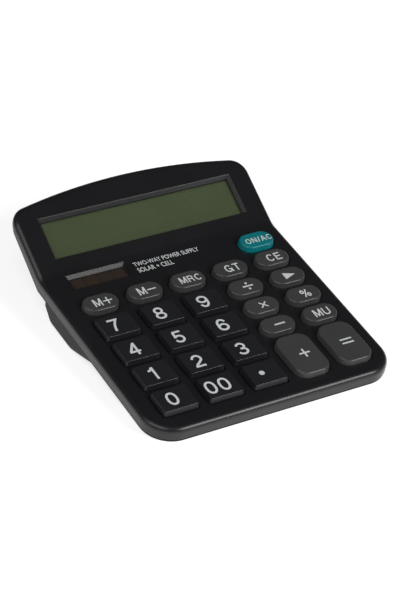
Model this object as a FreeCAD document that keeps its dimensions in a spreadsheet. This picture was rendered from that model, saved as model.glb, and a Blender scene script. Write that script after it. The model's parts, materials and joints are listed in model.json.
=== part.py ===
import FreeCAD, Part
import math
import os
import re

import Sketcher

# Twelve-digit desk calculator with a sloping keypad, a steeper display head, a solar cell and one AAA cell.
#
# Two working frames are used. In the deck frame X runs to the right, Y runs up the keypad from its front
# edge and Z is the outward normal of the keypad surface. In the head frame Y runs up the display surface
# from the bend and Z is its outward normal. DECK and HEAD place them in the model's own frame, whose
# origin is on the desk under the middle of the calculator, with Z up and the display towards +Y.

V = FreeCAD.Vector
doc = FreeCAD.newDocument("calculator")

# ---------------------------------------------------------------- driving dimensions
dims = doc.addObject("Spreadsheet::Sheet", "dims")
DIMENSIONS = [
    ("deck_tilt", 6.2, "keypad surface to the desk, degrees"),
    ("head_tilt", 24.0, "display surface to the keypad surface, degrees"),
    ("seam_taper", 3.3, "how much the head thins towards the rear, degrees"),
    ("body_width", 118.0, "overall width"),
    ("deck_length", 102.0, "front edge to the bend"),
    ("head_length", 42.2, "bend to the top of the arched rear edge"),
    ("bend_radius", 9.0, "inside radius of the bend"),
    ("front_corner", 13.4, "front corner radius in plan"),
    ("rear_corner", 8.0, "rear corner radius in plan"),
    ("rear_arch", 300.0, "radius of the arched rear edge in plan"),
    ("edge_round", 2.6, "rounding of the upper shell's top edge"),
    ("lid_depth", 5.5, "upper shell depth, deck surface to the seam"),
    ("wall", 1.8, "upper shell wall"),
    ("tray_floor", 1.3, "lower shell floor thickness"),
    ("seam_step", 0.35, "how far the lower shell stands in from the upper one"),
    ("belly_side", 58.5, "half width of the belly"),
    ("belly_round", 2.0, "rounding along the belly's sides"),
    ("belly_wall", 1.5, "wall of the belly"),
    ("back_side", 51.0, "half width of the display back"),
    ("back_depth", 8.3, "display surface to the outside of its back"),
    ("back_length", 34.0, "where the display back ends"),
    ("column_pitch", 21.35, "key column spacing"),
    ("column_shift", 0.3, "middle column to the centre line"),
    ("digit_pitch", 16.07, "digit row spacing"),
    ("digit_row", 15.2, "front digit row to the front edge"),
    ("digit_width", 15.4, "digit key top width"),
    ("digit_depth", 12.1, "digit key top depth"),
    ("digit_rise", 2.35, "digit key height above the deck"),
    ("digit_flare", 0.7, "how much each side of a digit key spreads at its foot"),
    ("digit_round", 0.6, "digit key corner radius"),
    ("pill_pitch", 13.15, "function row spacing"),
    ("pill_row", 78.75, "memory key row to the front edge"),
    ("pill_width", 15.9, "function key top width"),
    ("pill_depth", 9.3, "function key top depth"),
    ("pill_rise", 2.5, "function key height above the deck"),
    ("pill_flare", 0.55, "how much each side of a function key spreads at its foot"),
    ("tall_row", 19.45, "middle of the plus and equals keys to the front edge"),
    ("tall_depth", 23.8, "plus and equals key top depth"),
    ("tall_round", 5.0, "plus and equals key corner radius"),
    ("key_gap", 0.35, "gap between a key's foot and its opening"),
    ("key_edge", 0.7, "rounding of a function key's top edge"),
    ("digit_edge", 0.25, "rounding of a digit key's top edge"),
    ("flange_top", 1.9, "key flange top below the deck surface"),
    ("flange_thick", 0.6, "key flange thickness"),
    ("flange_lip", 0.9, "how far the flange stands out past the key's foot"),
    ("key_travel", 1.0, "key travel"),
    ("mat_top", 3.7, "key mat top below the deck surface"),
    ("mat_thick", 0.5, "key mat thickness"),
    ("pad_radius", 1.8, "carbon pad radius"),
    ("board_top", 4.25, "circuit board top below the deck surface"),
    ("board_thick", 1.0, "circuit board thickness"),
    ("board_side", 52.5, "half width of the circuit board"),
    ("board_front", 5.0, "circuit board's front edge to the front edge"),
    ("board_rear", 83.2, "circuit board's rear edge to the front edge"),
    ("lip_side", 48.4, "half width of the display opening at the surface"),
    ("lip_low", 8.0, "display opening's front lip to the bend"),
    ("lip_high", 28.2, "display opening's rear lip to the bend"),
    ("glass_side", 47.0, "half width of the display opening at its foot"),
    ("glass_low", 8.9, "display opening's foot, front edge to the bend"),
    ("glass_high", 26.4, "display opening's foot, rear edge to the bend"),
    ("solar_middle", -33.0, "solar opening's middle to the centre line"),
    ("solar_width", 28.6, "solar opening's width at the surface"),
    ("solar_front", 91.8, "solar opening's front lip to the front edge"),
    ("solar_rear", 101.2, "solar opening's rear lip to the front edge"),
    ("solar_slope", 1.3, "slope of the solar opening's sides, measured in plan"),
    ("cell_radius", 5.25, "AAA cell radius"),
    ("cell_length", 43.7, "AAA cell can length"),
    ("cell_row", 88.7, "AAA cell axis to the front edge"),
    ("cell_drop", 7.55, "AAA cell axis below the deck surface"),
    ("cell_left", -17.0, "flat end of the AAA cell to the centre line"),
    ("plate_half", 4.45, "half width of a battery contact plate"),
    ("plate_top", 4.2, "top of a contact plate below the deck surface"),
    ("plate_foot", 11.3, "foot of a contact plate below the deck surface"),
    ("plate_thick", 0.4, "contact plate thickness"),
    ("spring_room", 4.0, "from the negative plate to the cell's flat end"),
    ("nub_reach", 0.85, "from the cell's can to the positive plate"),
    ("door_gap", 0.2, "gap around the battery door"),
    ("door_left", -27.0, "battery door's left edge"),
    ("door_right", 37.0, "battery door's right edge"),
    ("door_front", 76.0, "battery door's front edge"),
    ("door_rear", 93.5, "battery door's rear edge"),
    ("foot_radius", 4.5, "rubber foot radius"),
    ("foot_stand", 0.7, "how far a foot stands out of the shell"),
    ("screw_radius", 0.9, "screw shank radius"),
    ("head_radius", 1.7, "screw head radius"),
]
for row, (alias, number, meaning) in enumerate(DIMENSIONS, start=1):
    dims.set("A%d" % row, meaning)
    dims.set("B%d" % row, str(number))
    dims.setAlias("B%d" % row, alias)
doc.recompute()


def size(expression):
    """The value of an expression written with the sheet's names."""
    return float(dims.evalExpression(expression))


ALIASES = {alias for alias, _, _ in DIMENSIONS}


def with_sheet(expression):
    """The same expression, as another object of the document reads it."""
    def name(found):
        word = found.group()
        return "<<dims>>." + word if word in ALIASES else word
    return re.sub(r"[a-z_]+", name, expression)


def bind(thing, name, expression):
    thing.setExpression(name, with_sheet(expression))


def at(x, y, z, turn=0.0):
    return FreeCAD.Placement(V(x, y, z), FreeCAD.Rotation(V(1, 0, 0), turn))


# ---------------------------------------------------------------- sketches
def datum(sketch, kind, places, expression):
    """Adds a dimension that the sheet drives. places are the geometry and point numbers it joins."""
    index = sketch.addConstraint(Sketcher.Constraint(kind, *places, size(expression)))
    bind(sketch, "Constraints[%d]" % index, expression)


def join_tangent(sketch, order):
    """Joins each curve's end to the next curve's start, tangentially. Each arc runs counter-clockwise."""
    for here, following in zip(order, order[1:] + order[:1]):
        sketch.addConstraint(Sketcher.Constraint("Tangent", here, 2, following, 1))


def arc(middle, radius, start, end):
    circle = Part.Circle(middle, V(0, 0, 1), radius)
    return Part.ArcOfCircle(circle, math.radians(start), math.radians(end))


def draw_rounded_rectangle(sketch, width, depth, radius):
    half_w = size(width) / 2
    half_d = size(depth) / 2
    r = size(radius)
    cx = half_w - r
    cy = half_d - r
    sketch.addGeometry(Part.LineSegment(V(-cx, -half_d, 0), V(cx, -half_d, 0)))
    sketch.addGeometry(arc(V(cx, -cy, 0), r, 270, 360))
    sketch.addGeometry(Part.LineSegment(V(half_w, -cy, 0), V(half_w, cy, 0)))
    sketch.addGeometry(arc(V(cx, cy, 0), r, 0, 90))
    sketch.addGeometry(Part.LineSegment(V(cx, half_d, 0), V(-cx, half_d, 0)))
    sketch.addGeometry(arc(V(-cx, cy, 0), r, 90, 180))
    sketch.addGeometry(Part.LineSegment(V(-half_w, cy, 0), V(-half_w, -cy, 0)))
    sketch.addGeometry(arc(V(-cx, -cy, 0), r, 180, 270))
    join_tangent(sketch, list(range(8)))
    for line in (0, 4):
        sketch.addConstraint(Sketcher.Constraint("Horizontal", line))
    for line in (2, 6):
        sketch.addConstraint(Sketcher.Constraint("Vertical", line))
    for corner in (3, 5, 7):
        sketch.addConstraint(Sketcher.Constraint("Equal", 1, corner))
    sketch.addConstraint(Sketcher.Constraint("Symmetric", 3, 3, 7, 3, -1, 1))
    datum(sketch, "DistanceX", (6, 1, 2, 1), width)
    datum(sketch, "DistanceY", (0, 1, 4, 1), depth)
    datum(sketch, "Radius", (1,), radius)


def draw_slot(sketch, width, depth):
    r = size(depth) / 2
    cx = size(width) / 2 - r
    sketch.addGeometry(Part.LineSegment(V(-cx, -r, 0), V(cx, -r, 0)))
    sketch.addGeometry(arc(V(cx, 0, 0), r, 270, 450))
    sketch.addGeometry(Part.LineSegment(V(cx, r, 0), V(-cx, r, 0)))
    sketch.addGeometry(arc(V(-cx, 0, 0), r, 90, 270))
    join_tangent(sketch, list(range(4)))
    sketch.addConstraint(Sketcher.Constraint("Horizontal", 0))
    sketch.addConstraint(Sketcher.Constraint("Equal", 1, 3))
    sketch.addConstraint(Sketcher.Constraint("Symmetric", 1, 3, 3, 3, -1, 1))
    datum(sketch, "DistanceX", (3, 3, 1, 3), "%s - (%s)" % (width, depth))
    datum(sketch, "Radius", (1,), "(%s) / 2" % depth)


def draw_body_plan(sketch, inset):
    """The calculator's outline in plan, moved in by inset: round corners and an arched rear edge."""
    half = size("body_width / 2 - %s" % inset)
    front = size("%s + 0" % inset)
    rear = size("deck_length + head_length * cos(head_tilt * 1 deg) - %s" % inset)
    r1 = size("front_corner - %s" % inset)
    r2 = size("rear_corner - %s" % inset)
    big = size("rear_arch - %s" % inset)
    arch_y = rear - big
    corner_x = half - r2
    reach = math.degrees(math.asin(corner_x / (big - r2)))
    corner_y = arch_y + (big - r2) * math.cos(math.radians(reach))
    sketch.addGeometry(Part.LineSegment(V(-half + r1, front, 0), V(half - r1, front, 0)))
    sketch.addGeometry(arc(V(half - r1, front + r1, 0), r1, 270, 360))
    sketch.addGeometry(Part.LineSegment(V(half, front + r1, 0), V(half, corner_y, 0)))
    sketch.addGeometry(arc(V(corner_x, corner_y, 0), r2, 0, 90 - reach))
    sketch.addGeometry(arc(V(0, arch_y, 0), big, 90 - reach, 90 + reach))
    sketch.addGeometry(arc(V(-corner_x, corner_y, 0), r2, 90 + reach, 180))
    sketch.addGeometry(Part.LineSegment(V(-half, corner_y, 0), V(-half, front + r1, 0)))
    sketch.addGeometry(arc(V(-half + r1, front + r1, 0), r1, 180, 270))
    join_tangent(sketch, list(range(8)))
    sketch.addConstraint(Sketcher.Constraint("Horizontal", 0))
    sketch.addConstraint(Sketcher.Constraint("Vertical", 2))
    sketch.addConstraint(Sketcher.Constraint("Vertical", 6))
    sketch.addConstraint(Sketcher.Constraint("Equal", 1, 7))
    sketch.addConstraint(Sketcher.Constraint("Equal", 3, 5))
    sketch.addConstraint(Sketcher.Constraint("PointOnObject", 4, 3, -2))
    datum(sketch, "DistanceX", (-1, 1, 2, 1), "body_width / 2 - %s" % inset)
    datum(sketch, "DistanceX", (6, 1, -1, 1), "body_width / 2 - %s" % inset)
    datum(sketch, "DistanceY", (-1, 1, 0, 1), "%s + 0" % inset)
    datum(sketch, "Radius", (1,), "front_corner - %s" % inset)
    datum(sketch, "Radius", (3,), "rear_corner - %s" % inset)
    datum(sketch, "Radius", (4,), "rear_arch - %s" % inset)
    datum(sketch, "DistanceY", (4, 3, -1, 1),
          "rear_arch - deck_length - head_length * cos(head_tilt * 1 deg)")


def draw_polygon(sketch, corners):
    """A closed outline whose corners are pairs of expressions, each measured from the sketch's origin."""
    points = [V(size(x), size(y), 0) for x, y in corners]
    count = len(points)
    for i in range(count):
        sketch.addGeometry(Part.LineSegment(points[i], points[(i + 1) % count]))
    for i in range(count):
        sketch.addConstraint(Sketcher.Constraint("Coincident", i, 2, (i + 1) % count, 1))
    for i, (x, y) in enumerate(corners):
        datum(sketch, "DistanceX", (-1, 1, i, 1), x)
        datum(sketch, "DistanceY", (-1, 1, i, 1), y)


# ---------------------------------------------------------------- solids from Part
def free_sketch(name, placement):
    sketch = doc.addObject("Sketcher::SketchObject", name)
    sketch.Placement = placement
    return sketch


def extrude(name, sketch, direction, forward, backward="0"):
    body = doc.addObject("Part::Extrusion", name)
    body.Base = sketch
    body.DirMode = "Custom"
    body.Dir = direction
    body.Solid = True
    bind(body, "LengthFwd", forward)
    bind(body, "LengthRev", backward)
    return body


def plan_prism(name, inset, up, down):
    """The plan outline raised above and lowered below the deck surface."""
    sketch = free_sketch(name + "_plan", at(0, 0, 0))
    draw_body_plan(sketch, inset)
    return extrude(name, sketch, V(0, 0, 1), up, down)


SIDE_ON = FreeCAD.Rotation(V(0, 1, 0), V(0, 0, 1), V(1, 0, 0), "ZXY")


def side_prism(name, corners, half_width):
    """A side section, drawn in the plane of Y and Z, made solid to both sides of the centre line."""
    sketch = free_sketch(name + "_section", FreeCAD.Placement(V(0, 0, 0), SIDE_ON))
    draw_polygon(sketch, corners)
    return extrude(name, sketch, V(1, 0, 0), half_width, half_width)


def box(name, x, y, z):
    """A box between two corners, each coordinate a pair of expressions."""
    solid = doc.addObject("Part::Box", name)
    for side, (low, high) in zip(("Length", "Width", "Height"), (x, y, z)):
        bind(solid, side, "(%s) - (%s)" % (high, low))
    solid.Placement = at(size(x[0]), size(y[0]), size(z[0]))
    return solid


def cylinder(name, x, y, z, radius, height):
    """An upright cylinder standing on the point x, y, z."""
    solid = doc.addObject("Part::Cylinder", name)
    bind(solid, "Radius", radius)
    bind(solid, "Height", height)
    solid.Placement = at(x, y, z)
    return solid


def combine(kind, name, shapes):
    result = doc.addObject("Part::" + kind, name)
    if kind == "Cut":
        result.Base, result.Tool = shapes
    else:
        result.Shapes = shapes
    return result


def gather(name, shapes):
    """Several separate solids that share one node."""
    group = doc.addObject("Part::Compound", name)
    group.Links = shapes
    return group


def rounded(name, base, radius, chosen):
    """base with a fillet on each edge that chosen accepts."""
    doc.recompute()
    fillet = doc.addObject("Part::Fillet", name)
    fillet.Base = base
    r = size(radius)
    fillet.Edges = [(i, r, r) for i, edge in enumerate(base.Shape.Edges, start=1) if chosen(edge)]
    return fillet


def runs_across(y, z):
    """Accepts edges parallel to X that pass through the point y, z of the side view."""
    def test(edge):
        ends = [vertex.Point for vertex in edge.Vertexes]
        return len(ends) == 2 and all(math.hypot(end.y - y, end.z - z) < 0.03 for end in ends)
    return test


# ---------------------------------------------------------------- placements
DECK_TURN = size("deck_tilt")
FOOT_FRONT = 7.0                      # front feet, along the deck from the front edge
FOOT_REAR = 77.0                      # rear feet, under the belly
DECK = FreeCAD.Placement(V(0, 0, 0), FreeCAD.Rotation(V(1, 0, 0), DECK_TURN))
# The shell's lowest point along the tilt is the front foot seat, which fixes the height of the deck frame.
SEAT = DECK.multVec(V(0, FOOT_FRONT, -size("lid_depth + tray_floor + foot_stand")))
DECK.Base = V(0, 0, -SEAT.z)
HEAD_IN_DECK = FreeCAD.Placement(V(0, size("deck_length"), 0),
                                 FreeCAD.Rotation(V(1, 0, 0), size("head_tilt")))

node_objects = {}


def keep(name, thing, placement=None):
    """Makes thing the sub-part called name, placed in the model's frame."""
    thing.Label = name
    node_objects[name] = (thing, placement)
    return thing


# ---------------------------------------------------------------- upper housing
LID_PROFILE = [
    ("-10", "0"),
    ("deck_length", "0"),
    ("deck_length + 60 * cos(head_tilt * 1 deg)", "60 * sin(head_tilt * 1 deg)"),
    ("deck_length + 60 * cos(head_tilt * 1 deg) + 1",
     "60 * sin((head_tilt + seam_taper) * 1 deg) - lid_depth"),
    ("deck_length + lid_depth * tan(head_tilt * 0.5 deg)", "-lid_depth"),
    ("-10", "-lid_depth"),
]
CAVITY_PROFILE = [
    ("-10", "-wall"),
    ("deck_length + wall * tan(head_tilt * 0.5 deg)", "-wall"),
    ("deck_length + wall * tan(head_tilt * 0.5 deg) + 60 * cos(head_tilt * 1 deg)",
     "60 * sin(head_tilt * 1 deg) - wall"),
    ("deck_length + 62 * cos(head_tilt * 1 deg)", "-30"),
    ("-10", "-30"),
]


def make_lid_blank():
    """The upper shell before its openings: a bent slab, rounded on top and hollow underneath."""
    slab = side_prism("lid_slab", LID_PROFILE, "body_width")
    bent = rounded("lid_bend", slab, "bend_radius", runs_across(size("deck_length"), 0))
    outline = plan_prism("lid_outline", "0", "40", "lid_depth * 2")
    block = combine("MultiCommon", "lid_block", [bent, outline])
    doc.recompute()

    def on_top_rim(edge):
        """Edges of the outline that lie on the top surface, not on the seam."""
        u, w = edge.CenterOfMass.y, edge.CenterOfMass.z
        rise = max(0.0, u - size("deck_length")) * math.tan(math.radians(size("head_tilt")))
        on_surface = abs(w - rise) < 0.9
        middle = edge.valueAt((edge.FirstParameter + edge.LastParameter) / 2)
        across = edge.BoundBox.YLength < 0.01 and 1 < u < size("deck_length + 30")
        return on_surface and not across and abs(middle.z - rise) < 0.9

    shell = rounded("lid_rounded", block, "edge_round", on_top_rim)
    hollow = combine("MultiCommon", "lid_hollow", [
        side_prism("hollow_slab", CAVITY_PROFILE, "body_width"),
        plan_prism("hollow_outline", "wall", "40", "30"),
    ])
    return combine("Cut", "lid_blank", [shell, hollow])


def sloped_opening(name, lip, foot, depth):
    """A four-sided opening that narrows from its lip at the surface to its foot at depth below it.

    lip and foot are (left, right, front, rear) expressions. The wedge stands a little proud of the
    surface so that it cuts cleanly.
    """
    solid = doc.addObject("Part::Wedge", name)
    values = {"Xmin": lip[0], "Xmax": lip[1], "Zmin": lip[2], "Zmax": lip[3], "Ymin": "0", "Ymax": depth,
              "X2min": foot[0], "X2max": foot[1], "Z2min": foot[2], "Z2max": foot[3]}
    for side, expression in values.items():
        bind(solid, side, expression)
    return solid


# A wedge narrows along its own Y. This turn points that downwards, with its Z towards the rear.
WEDGE_TURN = FreeCAD.Rotation(V(1, 0, 0), V(0, 0, -1), V(0, 1, 0), "XYZ")

lid_blank = make_lid_blank()
display_opening = sloped_opening(
    "display_opening",
    ("-lip_side", "lip_side", "lip_low", "lip_high"),
    ("-glass_side", "glass_side", "glass_low", "glass_high"), "wall + 0.02")
display_opening.Placement = HEAD_IN_DECK * FreeCAD.Placement(V(0, 0, 0.01), WEDGE_TURN)
solar_opening = sloped_opening(
    "solar_opening",
    ("solar_middle - solar_width / 2", "solar_middle + solar_width / 2", "solar_front", "solar_rear"),
    ("solar_middle - solar_width / 2 + solar_slope", "solar_middle + solar_width / 2 - solar_slope",
     "solar_front + solar_slope", "solar_rear - solar_slope"), "wall + 0.02")
solar_opening.Placement = FreeCAD.Placement(V(0, 0, 0.01), WEDGE_TURN)
# The deck starts to bend just in front of the opening's rear lip, so a thin slot clears what is above it.
solar_clear = box("solar_clear",
                  ("solar_middle - solar_width / 2", "solar_middle + solar_width / 2"),
                  ("solar_front", "solar_rear"), ("0", "4"))

# ---------------------------------------------------------------- keys
COLUMNS = [size("column_shift + column_pitch * %d" % place) for place in (-2, -1, 0, 1, 2)]


def digit_row(place):
    return size("digit_row + digit_pitch * %d" % place)


def pill_row(place):
    return size("pill_row + pill_pitch * %d" % place)


# name, kind, column, distance of the key's middle from the front edge
KEYS = []
for place, labels in enumerate((("0", "00", "point"), ("1", "2", "3"), ("4", "5", "6"), ("7", "8", "9"))):
    for column, label in enumerate(labels):
        KEYS.append(("key_" + label, "digit", COLUMNS[column], digit_row(place)))
for column, label in enumerate(("m_plus", "m_minus", "mrc", "gt", "ce")):
    KEYS.append(("key_" + label, "pill", COLUMNS[column], pill_row(0)))
for place, (left, right) in enumerate((("divide", "backspace"), ("multiply", "percent"), ("minus", "mu"))):
    KEYS.append(("key_" + left, "pill", COLUMNS[3], pill_row(-1 - place)))
    KEYS.append(("key_" + right, "pill", COLUMNS[4], pill_row(-1 - place)))
KEYS.append(("key_on_ac", "pill", COLUMNS[4], pill_row(1)))
KEYS.append(("key_plus", "tall", COLUMNS[3], size("tall_row")))
KEYS.append(("key_equals", "tall", COLUMNS[4], size("tall_row")))

# kind: top width, top depth, corner radius at the top (None for a slot), rise, flare, edge rounding
KEY_KINDS = {
    "digit": ("digit_width", "digit_depth", "digit_round", "digit_rise", "digit_flare", "digit_edge"),
    "pill": ("pill_width", "pill_depth", None, "pill_rise", "pill_flare", "key_edge"),
    "tall": ("pill_width", "tall_depth", "tall_round", "pill_rise", "pill_flare", "key_edge"),
}


def draw_key(sketch, kind, margin):
    """A key's outline, grown all round by margin from its top face."""
    width, depth, radius, _, _, _ = KEY_KINDS[kind]
    if radius is None:
        draw_slot(sketch, "(%s + 2 * (%s))" % (width, margin), "(%s + 2 * (%s))" % (depth, margin))
    else:
        draw_rounded_rectangle(sketch, "%s + 2 * (%s)" % (width, margin), "%s + 2 * (%s)" % (depth, margin),
                               "%s + (%s)" % (radius, margin))


def body_sketch(body, name, height):
    """A sketch in a body, parallel to its own XY plane and height above it."""
    plane = [f for f in body.Origin.OriginFeatures if f.Role == "XY_Plane"][0]
    sketch = body.newObject("Sketcher::SketchObject", name)
    sketch.AttachmentSupport = [(plane, "")]
    sketch.MapMode = "FlatFace"
    sketch.AttachmentOffset = FreeCAD.Placement(V(0, 0, 0), FreeCAD.Rotation())
    bind(sketch, "AttachmentOffset.Base.z", height)
    return sketch


def make_key(name, kind):
    """A key: a flange that holds it under the deck, a straight stem and a cap with sloping sides."""
    _, _, _, rise, flare, edge = KEY_KINDS[kind]
    body = doc.addObject("PartDesign::Body", name)

    flange = body_sketch(body, name + "_flange", "-flange_top - flange_thick")
    draw_key(flange, kind, flare + " + flange_lip")
    flange_pad = body.newObject("PartDesign::Pad", name + "_flange_pad")
    flange_pad.Profile = flange
    bind(flange_pad, "Length", "flange_thick")

    foot = body_sketch(body, name + "_foot", "-flange_top - flange_thick / 2")
    draw_key(foot, kind, flare)
    foot_pad = body.newObject("PartDesign::Pad", name + "_foot_pad")
    foot_pad.Profile = foot
    bind(foot_pad, "Length", "flange_top + flange_thick / 2 + 0.3")

    low = body_sketch(body, name + "_low", "0.3")
    draw_key(low, kind, flare)
    high = body_sketch(body, name + "_high", rise)
    draw_key(high, kind, "0")
    cap = body.newObject("PartDesign::AdditiveLoft", name + "_cap")
    cap.Profile = low
    cap.Sections = [high]
    doc.recompute()

    top = size(rise)
    rim = ["Edge%d" % i for i, e in enumerate(cap.Shape.Edges, start=1) if abs(e.BoundBox.ZMin - top) < 0.01]
    fillet = body.newObject("PartDesign::Fillet", name + "_edge")
    fillet.Base = (cap, rim)
    bind(fillet, "Radius", edge)
    body.Tip = fillet
    return body


key_openings = []
for name, kind, x, y in KEYS:
    keep(name, make_key(name, kind), at(x, y, 0))
    sketch = free_sketch(name + "_opening_plan", at(x, y, 0))
    draw_key(sketch, kind, KEY_KINDS[kind][4] + " + key_gap")
    key_openings.append(extrude(name + "_opening", sketch, V(0, 0, 1), "3", "wall + 1"))

# ---------------------------------------------------------------- posts under the deck
BETWEEN = [(left + right) / 2 for left, right in zip(COLUMNS, COLUMNS[1:])]
BOARD_SCREWS = [(x, (digit_row(3) + pill_row(0)) / 2 + 0.3) for x in BETWEEN]
STAKES = [(x, digit_row(0) + size("digit_pitch") * (place + 0.5)) for x in BETWEEN[:2] for place in (0, 1)]
CASE_SCREWS = [(side * 54.6, y) for y in (24.0, 66.0) for side in (-1, 1)]
HEAD_SCREWS = [(side * 44.0, 31.5) for side in (-1, 1)]
HOLDER_SCREWS = [(side * 30.0, y) for y in (5.6, 30.0) for side in (-1, 1)]

POST_RADIUS = 1.7
posts = []
for i, (x, y) in enumerate(BOARD_SCREWS):
    posts.append(cylinder("board_post_%d" % i, x, y, -size("board_top"), "1.5", "board_top - wall / 2"))
for i, (x, y) in enumerate(STAKES):
    posts.append(cylinder("stake_%d" % i, x, y, -size("board_top + board_thick + 0.15"), "1.2",
                          "board_top + board_thick + 0.15 - wall / 2"))
for i, (x, y) in enumerate(CASE_SCREWS):
    posts.append(cylinder("case_post_%d" % i, x, y, -size("lid_depth"), str(POST_RADIUS),
                          "lid_depth - wall / 2"))


def in_head(thing):
    """Moves a solid drawn in the head frame into the deck frame."""
    thing.Placement = HEAD_IN_DECK * thing.Placement
    return thing


for i, (x, y) in enumerate(HEAD_SCREWS):
    posts.append(in_head(cylinder("head_post_%d" % i, x, y, -5.6, "2.2", "5.6 - wall / 2")))
for i, (x, y) in enumerate(HOLDER_SCREWS):
    posts.append(in_head(cylinder("holder_post_%d" % i, x, y, -5.4, "1.2", "5.4 - wall / 2")))


def screw_cutters(name, places, z, length, radius="screw_radius", move=None):
    """Blind holes for screws, opening downwards at z."""
    holes = []
    for i, (x, y) in enumerate(places):
        hole = cylinder("%s_%d" % (name, i), x, y, z, radius, str(length))
        holes.append(move(hole) if move else hole)
    return holes


BOARD_HOLE = 2.9                      # length of the hole for a board screw, from the post's end
pilot_holes = (
    screw_cutters("board_pilot", BOARD_SCREWS, -size("board_top") - 0.01, BOARD_HOLE)
    + screw_cutters("case_pilot", CASE_SCREWS, -size("lid_depth") - 0.01, 4.0)
    + screw_cutters("head_pilot", HEAD_SCREWS, -5.61, 4.2, move=in_head)
    + screw_cutters("holder_pilot", HOLDER_SCREWS, -5.41, 4.0, "0.7", in_head)
)
lid_with_posts = combine("MultiFuse", "lid_with_posts", [lid_blank] + posts)
lid_openings = combine("MultiFuse", "lid_openings",
                       [display_opening, solar_opening, solar_clear] + key_openings + pilot_holes)
keep("upper_housing", combine("Cut", "upper_housing", [lid_with_posts, lid_openings]), at(0, 0, 0))

# ---------------------------------------------------------------- lower housing
BELLY = [
    (46.0, -3.0), (46.0, -6.8), (51.0, -6.8), (72.5, -14.7), (91.2, -14.9), (97.8, -9.6), (97.8, -3.0),
]
BELLY_ROUNDS = [(51.0, -6.8, 16.0), (72.5, -14.7, 14.0), (91.2, -14.9, 5.5), (97.8, -9.6, 2.5)]
BELLY_HOLLOW = [
    (54.0, 2.0), (54.0, -5.6), (56.0, -6.4), (73.0, -13.1), (90.4, -13.4), (96.3, -8.8), (96.3, 2.0),
]


def as_text(points):
    return [("%.2f" % y, "%.2f" % z) for y, z in points]


def make_belly():
    belly = side_prism("belly_block", as_text(BELLY), "belly_side")
    for i, (y, z, radius) in enumerate(BELLY_ROUNDS):
        belly = rounded("belly_round_%d" % i, belly, str(radius), runs_across(y, z))
    doc.recompute()
    side = size("belly_side")

    def along_the_side(edge):
        limits = edge.BoundBox
        on_side = limits.XLength < 0.01 and abs(abs(limits.XMin) - side) < 0.01
        is_front = limits.YMax < 46.1
        is_top = limits.ZMin > -3.1
        return on_side and not is_front and not is_top

    soft = rounded("belly_soft", belly, "belly_round", along_the_side)
    below_seam = box("below_seam", ("-body_width", "body_width"), ("0", "deck_length"), ("-20", "-lid_depth"))
    return combine("MultiCommon", "belly", [soft, below_seam])


TRAY_PROFILE = [
    ("-10", "-lid_depth"),
    ("deck_length + lid_depth * tan(head_tilt * 0.5 deg)", "-lid_depth"),
    ("deck_length + 60 * cos(head_tilt * 1 deg) + 1",
     "60 * sin((head_tilt + seam_taper) * 1 deg) - lid_depth"),
    ("deck_length + 60 * cos(head_tilt * 1 deg) + 1.6",
     "60 * sin((head_tilt + seam_taper) * 1 deg) - lid_depth - tray_floor * 1.1"),
    ("deck_length + (lid_depth + tray_floor) * tan(head_tilt * 0.5 deg)", "-lid_depth - tray_floor"),
    ("-10", "-lid_depth - tray_floor"),
]
tray_blank = combine("MultiCommon", "tray_blank", [
    side_prism("tray_slab", TRAY_PROFILE, "body_width"),
    plan_prism("tray_outline", "seam_step", "40", "30"),
])
BACK = [("-8", "-4.6"), ("-8", "-back_depth"), ("back_length", "-back_depth"),
        ("back_length + 3.6", "-4.4"), ("back_length + 3.4", "-4.0"), ("2", "-5.4")]
BACK_HOLLOW = [("-10", "1"), ("-10", "-back_depth + tray_floor"),
               ("back_length - 0.9", "-back_depth + tray_floor"), ("back_length + 1.6", "-4.2"),
               ("back_length + 1.6", "1")]


def make_back():
    block = side_prism("back_block", BACK, "back_side")
    doc.recompute()
    depth = -size("back_depth")

    def lower_rim(edge):
        limits = edge.BoundBox
        return abs(limits.ZMin - depth) < 0.01 and abs(limits.ZMax - depth) < 0.01 and limits.YMax > -7.9

    soft = in_head(rounded("back_soft", block, "2.4", lower_rim))
    return combine("MultiCommon", "back", [soft, plan_prism("back_limit", "3.5", "40", "40")])


back_hollow = combine("MultiCommon", "back_hollow_trimmed", [
    in_head(side_prism("back_hollow", BACK_HOLLOW, "back_side - tray_floor")),
    plan_prism("back_hollow_limit", "3.5 + tray_floor", "40", "40"),
])
belly_hollow = side_prism("belly_hollow", as_text(BELLY_HOLLOW), "belly_side - belly_wall")
lower_posts = []
for i, (x, y) in enumerate(CASE_SCREWS):
    lower_posts.append(cylinder("seat_%d" % i, x, y, -size("lid_depth + tray_floor"), "2.6",
                                "tray_floor - 0.05"))
for i, (x, y) in enumerate(HEAD_SCREWS):
    lower_posts.append(in_head(cylinder("head_seat_%d" % i, x, y, -size("back_depth") + 0.3, "3.0",
                                        "back_depth - 0.3 - 5.65")))
CASE_SEAT = -size("lid_depth") - 0.7  # where the case screws' heads stop
HEAD_SEAT = -6.9                      # the same under the display, in the head frame
screw_seats = (
    screw_cutters("case_clear", CASE_SCREWS, -20.0, 20.0, "screw_radius + 0.15")
    + screw_cutters("case_recess", CASE_SCREWS[:2], -20.0, 20.0 + CASE_SEAT, "head_radius + 0.2")
    + screw_cutters("case_recess_deep", CASE_SCREWS[2:], -30.0, 30.0 + CASE_SEAT, "head_radius + 0.2")
    + screw_cutters("head_clear", HEAD_SCREWS, -20.0, 20.0, "screw_radius + 0.15", in_head)
    + screw_cutters("head_recess", HEAD_SCREWS, -20.0, 20.0 + HEAD_SEAT, "head_radius + 0.2", in_head)
)

FEET = [(side * x, y) for x, y in ((45.0, FOOT_FRONT), (47.0, FOOT_REAR)) for side in (-1, 1)]
UPRIGHT = FreeCAD.Rotation(V(1, 0, 0), -DECK_TURN)


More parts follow.
